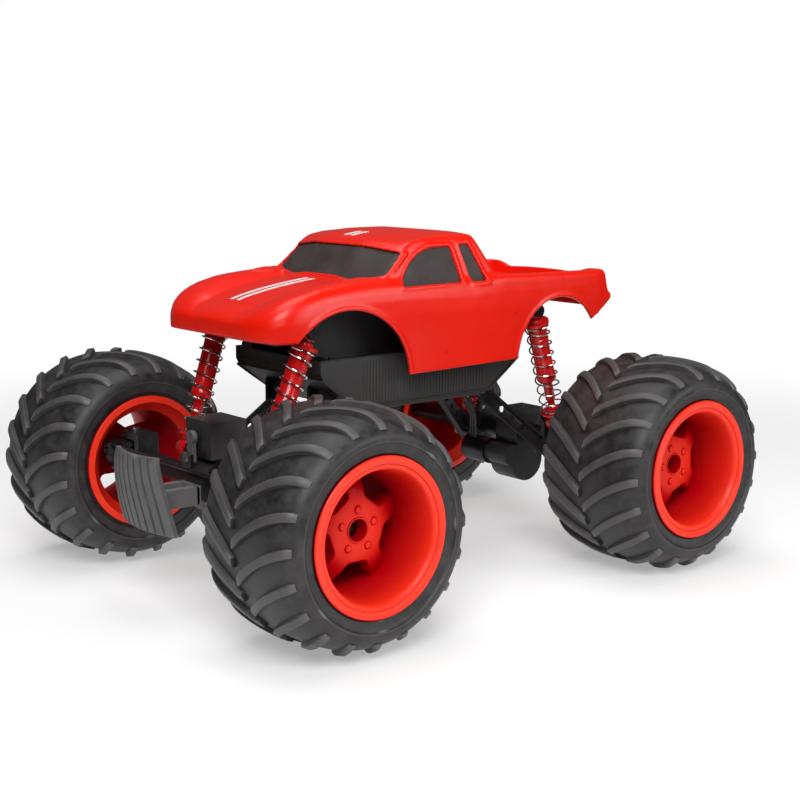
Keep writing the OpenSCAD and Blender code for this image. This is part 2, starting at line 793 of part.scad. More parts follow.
rear_axle_shaft();
idler_gear(rear);  // rear_idler_gear
pinion(rear);  // rear_pinion
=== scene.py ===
"""Looks of the radio-controlled monster truck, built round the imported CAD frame."""

import json
import math

import bmesh
import bpy
from mathutils import Matrix, Vector
from mathutils.bvhtree import BVHTree


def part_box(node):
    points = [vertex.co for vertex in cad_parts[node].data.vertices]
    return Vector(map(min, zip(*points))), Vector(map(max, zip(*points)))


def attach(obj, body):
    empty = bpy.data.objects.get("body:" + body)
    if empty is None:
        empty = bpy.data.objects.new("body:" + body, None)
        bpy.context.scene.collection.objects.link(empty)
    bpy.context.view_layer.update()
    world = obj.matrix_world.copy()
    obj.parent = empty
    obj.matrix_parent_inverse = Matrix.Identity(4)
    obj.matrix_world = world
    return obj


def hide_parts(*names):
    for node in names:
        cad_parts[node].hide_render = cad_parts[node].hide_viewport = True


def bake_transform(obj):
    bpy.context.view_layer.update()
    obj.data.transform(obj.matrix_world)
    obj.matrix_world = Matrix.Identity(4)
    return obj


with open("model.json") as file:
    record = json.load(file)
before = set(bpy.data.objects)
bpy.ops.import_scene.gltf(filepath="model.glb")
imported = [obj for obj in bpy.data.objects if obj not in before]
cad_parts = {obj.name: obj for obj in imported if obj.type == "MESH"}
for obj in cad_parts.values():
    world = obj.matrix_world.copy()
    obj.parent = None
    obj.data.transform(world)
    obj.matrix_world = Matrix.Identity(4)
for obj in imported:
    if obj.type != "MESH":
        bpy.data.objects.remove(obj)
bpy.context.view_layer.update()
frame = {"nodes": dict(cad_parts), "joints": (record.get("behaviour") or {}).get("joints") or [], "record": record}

# All shapes below are in millimetres; pieces are scaled to metres when they are made.
MM = 0.001
JOINTS = {j["name"]: j for j in frame["joints"]}


def joint_at(name):
    """A hinge's place in millimetres."""
    return Vector(JOINTS[name]["pos_m"]) / MM


FRONT_AXLE = joint_at("front_drive")
REAR_AXLE = joint_at("rear_drive")
TYRE_R = 60
TUBE_SIDES = 8
HALF_TRACK = joint_at("front_left_wheel_spin").y

# ---------------------------------------------------------------- curves and solids


def blend_of(a, b, t):
    return a + (b - a) * t


def ramp(knots, smooth=False):
    """A function through (x, value) knots: straight between them, or one smooth curve."""
    slopes = [(v1 - v0) / (x1 - x0) for (x0, v0), (x1, v1) in zip(knots, knots[1:])]
    tangents = [slopes[0]]
    for a, b in zip(slopes, slopes[1:]):
        tangents.append(2 * a * b / (a + b) if a * b > 0 else 0)
    tangents.append(slopes[-1])

    def value(x):
        if x <= knots[0][0]:
            return knots[0][1]
        for i, ((x0, v0), (x1, v1)) in enumerate(zip(knots, knots[1:])):
            if x <= x1:
                t = (x - x0) / (x1 - x0)
                if not smooth:
                    return blend_of(v0, v1, t)
                span_x = x1 - x0
                return ((2 * t ** 3 - 3 * t ** 2 + 1) * v0 + (t ** 3 - 2 * t ** 2 + t)
                        * tangents[i] * span_x + (3 * t ** 2 - 2 * t ** 3) * v1
                        + (t ** 3 - t ** 2) * tangents[i + 1] * span_x)
        return knots[-1][1]
    return value


def rounded(points, radius, steps=5):
    """A polygon with its corners turned into arcs; radius may be one number or one per point."""
    out = []
    count = len(points)
    for i, p in enumerate(points):
        p = Vector(p)
        r = radius[i] if isinstance(radius, (list, tuple)) else radius
        if r <= 0:
            out.append(p)
            continue
        a = Vector(points[i - 1]) - p
        b = Vector(points[(i + 1) % count]) - p
        half = a.angle(b) / 2
        cut = min(r / math.tan(half), a.length * 0.48, b.length * 0.48)
        start = p + a.normalized() * cut
        end = p + b.normalized() * cut
        for k in range(steps + 1):
            t = k / steps
            out.append(start * (1 - t) ** 2 + p * 2 * t * (1 - t) + end * t ** 2)
    return out


class Solid:
    """Vertices and faces in millimetres, gathered from several closed parts."""

    def __init__(self):
        self.verts = []
        self.faces = []

    def add(self, verts, faces, matrix=None):
        base = len(self.verts)
        self.verts += [matrix @ Vector(v) if matrix else Vector(v) for v in verts]
        self.faces += [[base + i for i in f] for f in faces]
        return self

    def piece(self, name, material=None, smooth=40):
        mesh = bpy.data.meshes.new(name)
        mesh.from_pydata([v * MM for v in self.verts], [], self.faces)
        obj = bpy.data.objects.new(name, mesh)
        bpy.context.scene.collection.objects.link(obj)
        tidy(obj)
        if material:
            mesh.materials.append(material)
        shade(obj, smooth)
        return obj


def tidy(obj):
    """Faces outward, and no doubled points."""
    bm = bmesh.new()
    bm.from_mesh(obj.data)
    bmesh.ops.remove_doubles(bm, verts=bm.verts, dist=1e-7)
    bmesh.ops.recalc_face_normals(bm, faces=bm.faces)
    bm.to_mesh(obj.data)
    bm.free()


def shade(obj, angle):
    """Smooth shading, sharp only over an angle in degrees."""
    obj.data.set_sharp_from_angle(angle=math.radians(angle))
    for p in obj.data.polygons:
        p.use_smooth = True


def revolve(profile, steps):
    """A closed loop of (radius, height) turned round Z."""
    count = len(profile)
    verts = []
    for k in range(steps):
        a = 2 * math.pi * k / steps
        verts += [(r * math.cos(a), r * math.sin(a), h) for r, h in profile]
    faces = []
    for k in range(steps):
        n = (k + 1) % steps
        for i in range(count):
            j = (i + 1) % count
            faces.append([k * count + i, n * count + i, n * count + j, k * count + j])
    return verts, faces


def turned(profile, steps):
    """An open (radius, height) profile that starts and ends on the axis, turned round Z."""
    inner = profile[1:-1]
    count = len(inner)
    verts = [(0, 0, profile[0][1])]
    for k in range(steps):
        a = 2 * math.pi * k / steps
        verts += [(r * math.cos(a), r * math.sin(a), h) for r, h in inner]
    verts.append((0, 0, profile[-1][1]))
    last = len(verts) - 1
    faces = []
    for k in range(steps):
        n = (k + 1) % steps
        a, b = 1 + k * count, 1 + n * count
        faces.append([0, b, a])
        for i in range(count - 1):
            faces.append([a + i, b + i, b + i + 1, a + i + 1])
        faces.append([a + count - 1, b + count - 1, last])
    return verts, faces


def soft_line(points, passes=2):
    """Cuts a line's corners, with its ends kept."""
    for _ in range(passes):
        out = [points[0]]
        for a, b in zip(points, points[1:]):
            out += [tuple(blend_of(p, q, t) for p, q in zip(a, b)) for t in (0.25, 0.75)]
        points = out + [points[-1]]
    return points


def loft(rings, capped=True):
    """Skins a list of rings that have the same number of points."""
    count = len(rings[0])
    verts = [p for ring in rings for p in ring]
    faces = []
    for k in range(len(rings) - 1):
        for i in range(count):
            j = (i + 1) % count
            faces.append([k * count + i, k * count + j, (k + 1) * count + j, (k + 1) * count + i])
    if capped:
        faces.append(list(range(count))[::-1])
        faces.append([(len(rings) - 1) * count + i for i in range(count)])
    return verts, faces


def tube(path, radius, closed=False):
    """A round tube along a path of points."""
    path = [Vector(p) for p in path]
    rings = []
    count = len(path)
    side = None
    for i, p in enumerate(path):
        before = path[i - 1] if (i or closed) else p
        after = path[(i + 1) % count] if (i + 1 < count or closed) else p
        along = (after - before).normalized()
        if side is None:
            side = along.orthogonal().normalized()
        side = (side - along * side.dot(along)).normalized()
        up = along.cross(side)
        rings.append([p + (side * math.cos(a) + up * math.sin(a)) * radius
                      for a in (2 * math.pi * k / TUBE_SIDES for k in range(TUBE_SIDES))])
    if closed:
        rings.append(rings[0])
    return loft(rings, capped=not closed)


def prism(outline, low, high, place=None):
    """An (x, y) outline lifted from low to high along Z."""
    rings = [[(p[0], p[1], low) for p in outline], [(p[0], p[1], high) for p in outline]]
    verts, faces = loft(rings)
    if place:
        verts = [place @ Vector(v) for v in verts]
    return verts, faces


def bevelled(obj, width, angle):
    mod = obj.modifiers.new("Bevel", "BEVEL")
    mod.width = width * MM
    mod.segments = 2
    mod.limit_method = "ANGLE"
    mod.angle_limit = math.radians(angle)


def apply_all(obj):
    """Bakes an object's modifiers into its mesh."""
    graph = bpy.context.evaluated_depsgraph_get()
    mesh = bpy.data.meshes.new_from_object(obj.evaluated_get(graph))
    obj.modifiers.clear()
    old = obj.data
    obj.data = mesh
    bpy.data.meshes.remove(old)


def tool(shape):
    """An object that is used once, by cut()."""
    return Solid().add(*shape).piece("tool")


def cut(obj, cutter):
    """Takes a throwaway object's volume away."""
    mod = obj.modifiers.new("Boolean", "BOOLEAN")
    mod.operation = "DIFFERENCE"
    mod.solver = "MANIFOLD"
    mod.object = cutter
    apply_all(obj)
    bpy.data.objects.remove(cutter)


def remesh(obj, voxel):
    """Rebuilds the surface as one closed skin."""
    mod = obj.modifiers.new("Remesh", "REMESH")
    mod.mode = "VOXEL"
    mod.voxel_size = voxel * MM
    mod.use_smooth_shade = True
    apply_all(obj)


def smoothed(obj, iterations, factor=0.5):
    mod = obj.modifiers.new("Smooth", "SMOOTH")
    mod.iterations = iterations
    mod.factor = factor


def thinned(obj):
    """Drops most of a remeshed surface's faces."""
    obj.modifiers.new("Decimate", "DECIMATE").ratio = 0.3


def hand_over(piece, node, body):
    """The piece stands for a CAD node: it hides the node, and rides on its body."""
    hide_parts(node)
    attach(piece, body)


# ---------------------------------------------------------------- materials


def new_material(name):
    mat = bpy.data.materials.new(name)
    mat.use_nodes = True
    tree = mat.node_tree
    return mat, tree, tree.nodes["Principled BSDF"]


def add_node(tree, kind, **inputs):
    node = tree.nodes.new(kind)
    for key, value in inputs.items():
        if key in node.inputs:
            node.inputs[key].default_value = value
        else:
            setattr(node, key, value)
    return node


def object_noise(tree, scale, detail, rough=0.5):
    coords = add_node(tree, "ShaderNodeTexCoord")
    noise = add_node(tree, "ShaderNodeTexNoise", Scale=scale, Detail=detail, Roughness=rough)
    tree.links.new(coords.outputs["Object"], noise.inputs["Vector"])
    return noise.outputs["Fac"]


def map_range(tree, source, from_range, to_range=(0, 1), kind="LINEAR"):
    node = add_node(tree, "ShaderNodeMapRange", interpolation_type=kind)
    for word, (low, high) in (("From", from_range), ("To", to_range)):
        node.inputs[f"{word} Min"].default_value = low
        node.inputs[f"{word} Max"].default_value = high
    tree.links.new(source, node.inputs["Value"])
    return node.outputs["Result"]


def span(tree, noise, low, high):
    """A noise's usual reach, spread from low to high."""
    return map_range(tree, noise, (0.3, 0.7), (low, high))


def mixed(tree, fac, colour_a, colour_b):
    node = add_node(tree, "ShaderNodeMix", data_type="RGBA")
    for name, value in (("A", colour_a), ("B", colour_b)):
        socket = [s for s in node.inputs if s.name == name and s.type == "RGBA"][0]
        if isinstance(value, tuple):
            socket.default_value = (*value, 1)
        else:
            tree.links.new(value, socket)
    tree.links.new(fac, node.inputs["Factor"])
    return [s for s in node.outputs if s.type == "RGBA"][0]


def bump(tree, shader, heights):
    """Chains bump nodes: (height output, strength, distance in millimetres)."""
    normal = None
    for height, strength, distance in heights:
        node = add_node(tree, "ShaderNodeBump", Strength=strength, Distance=distance * MM)
        tree.links.new(height, node.inputs["Height"])
        if normal:
            tree.links.new(normal, node.inputs["Normal"])
        normal = node.outputs["Normal"]
    tree.links.new(normal, shader.inputs["Normal"])


def recess(tree, distance, low, high):
    """1 inside hollows, 0 on open surfaces: an ambient-occlusion mask used for painted shade."""
    shadow = add_node(tree, "ShaderNodeAmbientOcclusion", samples=6, Distance=distance * MM)
    return map_range(tree, shadow.outputs["AO"], (low, high), (1, 0), "SMOOTHSTEP")


def edge_wear_and_highlight(tree, low=0.52, high=0.62):
    """1 on sharp outer edges, 0 elsewhere: the mask for worn edges on plastic, and for painted highlights on the
    tyre's edges.
    """
    geometry = add_node(tree, "ShaderNodeNewGeometry")
    return map_range(tree, geometry.outputs["Pointiness"], (low, high))


def moulded(name, base, light, rough=(0.4, 0.5), grain=1400, grain_depth=0.02, cloud=40, spec=0.5,
            wear=None, painted_shade=None, painted_shade_reach=30):
    """Moulded plastic or paint: cloudy colour, fine grain, worn edges, and painted shade in hollows."""
    mat, tree, shader = new_material(name)
    clouds = object_noise(tree, cloud, 5)
    colour = mixed(tree, span(tree, clouds, 0, 1), base, light)
    if wear:
        colour = mixed(tree, edge_wear_and_highlight(tree), colour, wear)
    shader.inputs["Specular IOR Level"].default_value = spec
    # painted shade: colour darkened and specular dropped where ambient occlusion finds hollows
    if painted_shade:
        hollow = recess(tree, painted_shade_reach, 0.5, 0.97)
        colour = mixed(tree, hollow, colour, painted_shade)
        sheen = map_range(tree, hollow, (0, 1), (spec, 0))
        tree.links.new(sheen, shader.inputs["Specular IOR Level"])
    tree.links.new(colour, shader.inputs["Base Color"])
    smear = object_noise(tree, cloud * 6, 6)
    tree.links.new(span(tree, smear, *rough), shader.inputs["Roughness"])
    fine = object_noise(tree, grain, 2)
    bump(tree, shader, [(fine, 0.25, grain_depth), (smear, 0.12, 0.05)])
    return mat


def rubber_material(name, base, dusty):
    """Soft black rubber: dust in patches, painted highlights on sharp edges, painted shade between the lugs, fine
    pebble grain.
    """
    mat, tree, shader = new_material(name)
    dust = object_noise(tree, 130, 9, 0.7)
    colour = mixed(tree, span(tree, dust, 0, 1), base, dusty)
    # painted highlight: the lugs' sharp edges lightened, as where light catches them
    edge_highlight = tuple(min(1, c * 2.8) for c in dusty)
    colour = mixed(tree, edge_wear_and_highlight(tree, 0.515, 0.6), colour, edge_highlight)
    # painted shade: the hollows between the lugs darkened nearly to black
    colour = mixed(tree, recess(tree, 9, 0.3, 0.95), colour, (0.004, 0.004, 0.004))
    tree.links.new(colour, shader.inputs["Base Color"])
    shader.inputs["Specular IOR Level"].default_value = 0.42
    tree.links.new(span(tree, dust, 0.36, 0.62), shader.inputs["Roughness"])
    fine = object_noise(tree, 1800, 3)
    broad = object_noise(tree, 260, 4)
    bump(tree, shader, [(fine, 0.35, 0.04), (broad, 0.2, 0.12)])
    return mat


def metal_material(name, base, rough):
    """Bare or blackened metal with fine dark streaks."""
    mat, tree, shader = new_material(name)
    shader.inputs["Metallic"].default_value = 1.0
    streak = object_noise(tree, 900, 4)
    dark = tuple(c * 0.75 for c in base)
    tree.links.new(mixed(tree, span(tree, streak, 0, 1), dark, base), shader.inputs["Base Color"])
    tree.links.new(span(tree, streak, *rough), shader.inputs["Roughness"])
    bump(tree, shader, [(streak, 0.1, 0.02)])
    return mat


def ribbed_material(name, base, light, pitch):
    """Dark moulding with fine upright ribs along its length."""
    mat = moulded(name, base, light, rough=(0.45, 0.6), grain=1100, grain_depth=0.03, spec=0.2,
                  wear=(0.045, 0.044, 0.043))
    tree = mat.node_tree
    shader = tree.nodes["Principled BSDF"]
    coords = add_node(tree, "ShaderNodeTexCoord")
    wave = add_node(tree, "ShaderNodeTexWave", Scale=0.314 / (math.tau * pitch * MM),
                    bands_direction="X", Distortion=0.4)
    tree.links.new(coords.outputs["Object"], wave.inputs["Vector"])
    node = add_node(tree, "ShaderNodeBump", Strength=0.35, Distance=0.15 * MM)
    old = shader.inputs["Normal"].links[0].from_socket
    tree.links.new(wave.outputs["Fac"], node.inputs["Height"])
    tree.links.new(old, node.inputs["Normal"])
    tree.links.new(node.outputs["Normal"], shader.inputs["Normal"])
    return mat


BODY_RED = moulded("body_red", (0.76, 0.009, 0.002), (0.82, 0.013, 0.003), rough=(0.27, 0.35),
                   grain=900, grain_depth=0.012, cloud=18, spec=0.36)
# the rim carries painted shade: darker crimson deep in the dish and the barrel
RIM_RED = moulded("rim_red", (0.90, 0.030, 0.007), (0.96, 0.040, 0.010), rough=(0.36, 0.46),
                  grain=1200, grain_depth=0.02, cloud=30, spec=0.4,
                  painted_shade=(0.44, 0.0, 0.005), painted_shade_reach=42)
SHOCK_RED = moulded("shock_red", (0.50, 0.005, 0.006), (0.60, 0.008, 0.008), rough=(0.16, 0.26),
                    grain=900, grain_depth=0.01, cloud=60)
STRIPE_WHITE = moulded("stripe_white", (0.86, 0.86, 0.86), (0.95, 0.95, 0.95), rough=(0.3, 0.4))
WINDOW_GREY = moulded("window_grey", (0.040, 0.032, 0.031), (0.060, 0.050, 0.048), spec=0.3,
                      rough=(0.5, 0.66), grain=2200, grain_depth=0.05, cloud=70)
TYRE_RUBBER = rubber_material("tyre_rubber", (0.006, 0.0055, 0.006), (0.046, 0.043, 0.044))
BLACK_PLASTIC = moulded("black_plastic", (0.007, 0.007, 0.0075), (0.014, 0.014, 0.015),
                        rough=(0.34, 0.50), grain=1500, grain_depth=0.04, cloud=80, spec=0.3,
                        wear=(0.07, 0.07, 0.072))
TUB_PLASTIC = ribbed_material("tub_plastic", (0.007, 0.006, 0.0055), (0.013, 0.011, 0.010), 1.6)
BUMPER_GREY = moulded("bumper_grey", (0.060, 0.057, 0.058), (0.098, 0.094, 0.095),
                      rough=(0.5, 0.65), grain=1300, grain_depth=0.05, cloud=90,
                      wear=(0.22, 0.22, 0.225))
SPRING_STEEL = metal_material("spring_steel", (0.86, 0.83, 0.80), (0.10, 0.22))
SCREW_STEEL = metal_material("screw_steel", (0.55, 0.56, 0.58), (0.25, 0.42))
BLACK_STEEL = metal_material("black_steel", (0.045, 0.042, 0.042), (0.25, 0.4))
MOTOR_CAN = metal_material("motor_can", (0.07, 0.07, 0.075), (0.3, 0.45))
GEAR_NYLON = moulded("gear_nylon", (0.66, 0.65, 0.58), (0.78, 0.77, 0.71), rough=(0.35, 0.5))
WIRE_BLACK = moulded("wire_black", (0.012, 0.012, 0.012), (0.03, 0.03, 0.03), rough=(0.35, 0.5))
BATTERY_BLUE = moulded("battery_wrap", (0.02, 0.05, 0.16), (0.03, 0.08, 0.24), rough=(0.2, 0.3))
BOARD_GREEN = moulded("circuit_board", (0.01, 0.08, 0.03), (0.02, 0.13, 0.05), rough=(0.3, 0.45))

# ---------------------------------------------------------------- body shell

BODY_W = 55
NOSE_X = 114.5
WALL = 1.8
BED_Z = 155.4
BEAD_R = 1.0
ARCH_BEAD_R = 1.25
ARCH_FRONT = (64, 111, 42.2)
ARCH_REAR = (-91.7, 117.8, 32.3)
half_width = ramp([(-140, 51.6), (-131, 52.6), (-120, 53.3), (-60, 54.2), (20, BODY_W), (88, BODY_W),
                   (96, 54.2), (102, 52.6), (107, 49.6), (110.5, 45.8), (113, 41), (114.6, 35)],
                  smooth=True)
crest_z = ramp([(-140, 163.9), (-132, 163.9), (-45, 165.4), (-20, 167), (40, 168.4), (63, 167.2),
                (80, 165.4), (92, 162.4), (100, 159.2), (106, 155.8), (110, 152.8), (113, 150),
                (114.6, 147.4)], smooth=True)
panel_z = ramp([(-140, 160), (-45, 165.2), (30, 165.6), (48, 164.4), (75, 161), (97.5, 156.2),
                (100, 155), (106, 152.9), (110, 151), (113, 149), (114.6, 147)], smooth=True)
panel_w = ramp([(-45, 30), (40, 35.5), (70, 29), (98, 22.5), (106, 23), (114.6, 18)])
bed_edge = ramp([(-46, 1), (-24, 0)])


def lower_section(x, inset):
    """Half outline (y, z) of the lower body at one place along the truck."""
    w = half_width(x) - inset
    top = crest_z(x) - inset
    flat = panel_z(x) - inset
    ridge = w - 10.5
    inner = min(panel_w(x), ridge - 4)
    points = [(0, flat + 0.9), (inner * 0.5, flat + 0.7), (inner, flat)]
    for t in (0.1, 0.25, 0.45, 0.7, 0.88, 1):
        points.append((blend_of(inner, ridge, t), blend_of(flat, top, 1 - (1 - t) ** 2.2)))
    # the shoulder: reach in from the side and drop from the crest, soft ahead, crisp on the bed
    squeeze = min(1, (top - 141) / 24)
    crisp = bed_edge(x)
    for soft, hard in (((6.6, 0.4), (4, 0)), ((4.2, 1.7), (2.4, 0.2)), ((2.3, 3.9), (1.5, 1)),
                       ((1.2, 7), (0.9, 3)), ((0.4, 12), (0.3, 9))):
        reach, drop = blend_of(soft[0], hard[0], crisp), blend_of(soft[1], hard[1], crisp)
        points.append((w - reach, top - drop * squeeze))
    for reach, z in ((0, 148), (0.3, 138), (1.2, 126), (2.4, 108)):
        points.append((w - reach, min(z, points[-1][1] - 1)))
    return points


def lower_form(inset):
    """The lower body as a loft; the tail's own shape is cut afterwards."""
    tail = -129.2 if inset else -140
    nose = NOSE_X - inset
    stations = [tail, -124, -110, *range(-96, 88, 8), 90, 94, 97, 98.5, 99.6, 101, 103, 105, 107,
                109, 110.5, 112, 113.2 - inset / 2, nose - 0.5, nose]
    rings = []
    for x in (s for s in stations if s <= nose):
        half = lower_section(x + (inset if x > 90 else 0), inset)
        rings.append([(x, y, z) for y, z in half] + [(x, -y, z) for y, z in half[:0:-1]])
    return loft(rings)


cab_front = ramp([(156, 50), (163, 46.5), (167.5, 42.5), (183.2, 31.2), (185.6, 28.2), (187.2, 24),
                  (188.4, 18.5), (189.4, 10), (190.3, -2)])
cab_back = ramp([(156, -46.4), (164, -45.2), (185.6, -31.6), (187, -30.6), (188.2, -29.4),
                 (189, -27.8), (189.7, -25), (190.3, -18)])
cab_half = ramp([(156, 52), (164, 51), (170, 49.8), (182, 46.9), (186, 45.8), (187.6, 44.9),
                 (188.3, 43.4), (188.9, 39), (189.5, 32), (190, 23), (190.3, 14)])
cab_bow = ramp([(156, 4.5), (168, 5), (181, 9.5), (184, 10), (186, 11), (187.6, 15), (188.3, 24),
                (190.3, 10)])
CAB_LEVELS = [156, 160, 164, 166, 168, 170, 173, 176, 179, 182, 183.5, 185, 186, 187, 187.6, 188,
              188.3, 188.6, 188.9, 189.2, 189.5, 189.8, 190.05, 190.3]


def cab_ring(z, inset, sink):
    x0, x1, w = cab_back(z) + inset, cab_front(z) - inset, cab_half(z) - inset
    bow = min(cab_bow(z), x1 - x0 - 12)
    corner = blend_of(7, 3.5, (z - 156) / 35)
    outline = rounded([(x0, -w + 0.8), (x1 - bow, -w), (x1, -w * 0.4), (x1, w * 0.4),
                       (x1 - bow, w), (x0, w - 0.8)],
                      [corner * 0.3, corner, 26, 26, corner, corner * 0.3], steps=10)
    return [(p.x, p.y, z - sink) for p in outline]


def cab_form(inset, sink=None):
    return loft([cab_ring(z, inset, inset if sink is None else sink) for z in CAB_LEVELS])


def arc(centre, radius, start, end, steps):
    return [(centre[0] + radius * math.cos(math.radians(a)),
             centre[1] + radius * math.sin(math.radians(a)))
            for a in (blend_of(start, end, k / steps) for k in range(steps + 1))]


# Turn an (x, z) outline prism so that it runs across the truck, or a (y, z) one along it.
ACROSS = Matrix(((1, 0, 0, 0), (0, 0, 1, 0), (0, 1, 0, 0), (0, 0, 0, 1)))
ALONG = Matrix(((0, 0, 1, 0), (1, 0, 0, 0), (0, 1, 0, 0), (0, 0, 0, 1)))


def side_tool(outline, low, high):
    return tool(prism(outline, low, high, ACROSS))


REAR_ARC = arc(ARCH_REAR, ARCH_REAR[2], 148, 1, 26)
FRONT_ARC = arc(ARCH_FRONT, ARCH_FRONT[2], 174, 41, 30)


def underside():
    """Everything behind and below the shell, as a side outline."""
    points = [(-160, 60), (-160, 200), (-130.6, 200), (-131, 164.2), (-133.4, 151.6),
              (-136.7, 149.1), (-136.5, 146.1), (-125, 138), (-122.6, 136.9)]
    points += REAR_ARC
    points += [(-57.5, 116.6), (20.2, 115.6)]
    points += FRONT_ARC
    points += [(105, 138.3), (118, 140), (160, 140), (160, 60)]
    return points


def box_outline(x0, x1, half):
    """A rectangle from x0 to x1, half wide on each side of the middle."""
    return [(x0, -half), (x1, -half), (x1, half), (x0, half)]


# Window openings, seen from the side as (x, z), and the two cross ones as (y, z)
GLASS_STEPS = 6
DOOR_GLASS = rounded([(27, 163), (24, 168.6), (18.6, 175), (11.2, 179.6), (2.9, 182.2),
                      (-11.4, 182.4), (-13.6, 174), (-16.6, 163)],
                     [0.8, 8, 14, 14, 8, 1.2, 20, 0.8], GLASS_STEPS)
SLIT_GLASS = rounded([(-23.8, 162.8), (-18.2, 183), (-25.2, 183), (-35.2, 162.8)], 0.7,
                     GLASS_STEPS)
SCREEN_GLASS = rounded([(-48, 169.2), (-46.2, 180.4), (-22, 183), (22, 183), (46.2, 180.4),
                        (48, 169.2), (40, 167.4), (25, 166.1), (13, 167.5), (-13, 167.5),
                        (-25, 166.1), (-40, 167.4)],
                       [1.6, 1.6, 40, 40, 1.6, 1.6, 5, 5, 5, 5, 5, 5], GLASS_STEPS)
REAR_GLASS = rounded([(-36, 168.5), (-34, 183), (34, 183), (36, 168.5)], 2.2, GLASS_STEPS)
STRIPE_Y = ((-4.9, -2.1), (1.1, 3.9))


def surface_of(obj):
    """A function that casts a ray, in millimetres, at the object as it is now."""
    tree = BVHTree.FromObject(obj, bpy.context.evaluated_depsgraph_get())

    def hit(origin, direction):
        point, _, _, _ = tree.ray_cast(Vector(origin) * MM, Vector(direction))
        return point / MM if point else None
    return hit


def beads_on(hit, outline, place, direction, sink):
    """A raised bead along an outline, sunk a little into the surface that hit() finds."""
    path = []
    for i, p in enumerate(outline):
        q = outline[(i + 1) % len(outline)]
        steps = max(1, int(math.dist(p, q) / 2))
        for k in range(steps):
            t = k / steps
            start = place(blend_of(p[0], q[0], t), blend_of(p[1], q[1], t))
            point = hit(start, direction)
            if point:
                path.append(point + Vector(direction) * sink)
    return tube(path, BEAD_R, closed=True)


def grown(outline, by):
    """The outline pushed outward by a distance."""
    cx = sum(p[0] for p in outline) / len(outline)
    cz = sum(p[1] for p in outline) / len(outline)
    out = []
    for x, z in outline:
        d = Vector((x - cx, z - cz))
        out.append((x + d.normalized().x * by, z + d.normalized().y * by))
    return out


def build_shell():
    """The painted body: outer form and raised beads, then hollowed, cut open and smoothed."""
    shell = Solid().add(*lower_form(0)).add(*cab_form(0)).piece("body_shell_look")
    remesh(shell, 0.9)
    hit = surface_of(shell)
    extra = Solid()
    for side in (1, -1):
        for outline in (DOOR_GLASS, SLIT_GLASS):
            extra.add(*beads_on(hit, grown(outline, 1.5), lambda x, z: (x, side * 90, z),
                                (0, -side, 0), 0.35))
        for points, centre in ((REAR_ARC, ARCH_REAR), (FRONT_ARC, ARCH_FRONT)):
            path = []
            for x, z in points:
                out = Vector((x - centre[0], z - centre[1])).normalized() * 0.9
                point = hit((x + out.x, side * 90, z + out.y), (0, -side, 0))
                if point:
                    path.append(point + Vector((0, side * -0.45, 0)))
            extra.add(*tube(path, ARCH_BEAD_R))
    extra.add(*beads_on(hit, grown(SCREEN_GLASS, 1.3), lambda y, z: (120, y, z), (-1, 0, 0), 0.5))
    join_into(shell, extra.piece("tool"))
    remesh(shell, 0.8)
    # hollow the lower body under the bed's floor, then the cab above it
    inner = tool(lower_form(WALL))
    cut(inner, tool(prism(box_outline(-134, -42.6, 60), BED_Z - WALL, 200)))
    cut(shell, inner)
    cab_inner = tool(cab_form(WALL))
    cut(cab_inner, tool(prism(box_outline(-80, -44, 60), 140, 163.4)))
    cut(shell, cab_inner)
    # the open bed, the wheel arches and sills, and the windows
    bed = rounded(box_outline(-128.4, -46, 46), 4, 4)
    cut(shell, tool(prism(bed, BED_Z, 190)))
    cut(shell, side_tool(underside(), -80, 80))
    for side in (1, -1):
        for outline in (DOOR_GLASS, SLIT_GLASS):
            cut(shell, side_tool(outline, *sorted((side * 30, side * 80))))
    for outline, low, high in ((SCREEN_GLASS, 15, 45.5), (REAR_GLASS, -60, -27)):
        cut(shell, tool(prism(outline, low, high, ALONG)))
    remesh(shell, 0.62)
    smoothed(shell, 5)
    thinned(shell)
    smoothed(shell, 2, 0.35)
    apply_all(shell)
    shell.data.materials.clear()
    shell.data.materials.append(BODY_RED)
    shade(shell, 60)
    hand_over(shell, "body_shell", "chassis")
    return shell


def join_into(obj, other):
    """Adds a throwaway object's mesh to another's."""
    bm = bmesh.new()
    bm.from_mesh(obj.data)
    bm.from_mesh(other.data)
    bm.to_mesh(obj.data)
    bm.free()
    bpy.data.objects.remove(other)


def build_windows():
    """Dark inner panels that show through the window openings."""
    pane = Solid().add(*cab_form(0.8, 0.55)).piece("window_panels_look")
    cut(pane, tool(cab_form(1.75)))
    cut(pane, tool(prism(box_outline(-90, 90, 90), 120, 161.5)))
    pane.data.materials.clear()
    pane.data.materials.append(WINDOW_GREY)
    shade(pane, 50)
    hand_over(pane, "window_panel", "chassis")


def build_stripes(shell):
    """Two thin white stripes laid on the hood and the roof."""
    hit = surface_of(shell)
    for name, x0, x1 in (("hood_stripes", 48.5, 98), ("roof_stripes", 11, 22)):
        strips = Solid()
        for y0, y1 in STRIPE_Y:
            along = [blend_of(x0, x1, k / 24) for k in range(25)]
            high = [hit((x, (y0 + y1) / 2, 260), (0, 0, -1)).z for x in along]
            for _ in range(4):
                between = [(a + b + c) / 3 for a, b, c in zip(high, high[1:], high[2:])]
                high = [high[0], *between, high[-1]]
            strips.add(*loft([[(x, y0, z - 0.4), (x, y0, z + 0.14), (x, y1, z + 0.14),
                               (x, y1, z - 0.4)] for x, z in zip(along, high)]))
        piece = strips.piece(name, STRIPE_WHITE, 30)
        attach(piece, "chassis")


# ---------------------------------------------------------------- wheels


def wheel_matrix(axle, side):
    """Wheel frame to truck frame: +Z points outward at the given side."""
    turn = Matrix(((1, 0, 0), (0, 0, side), (0, -1, 0))).to_4x4()
    return Matrix.Translation((axle.x, side * HALF_TRACK, axle.z)) @ turn


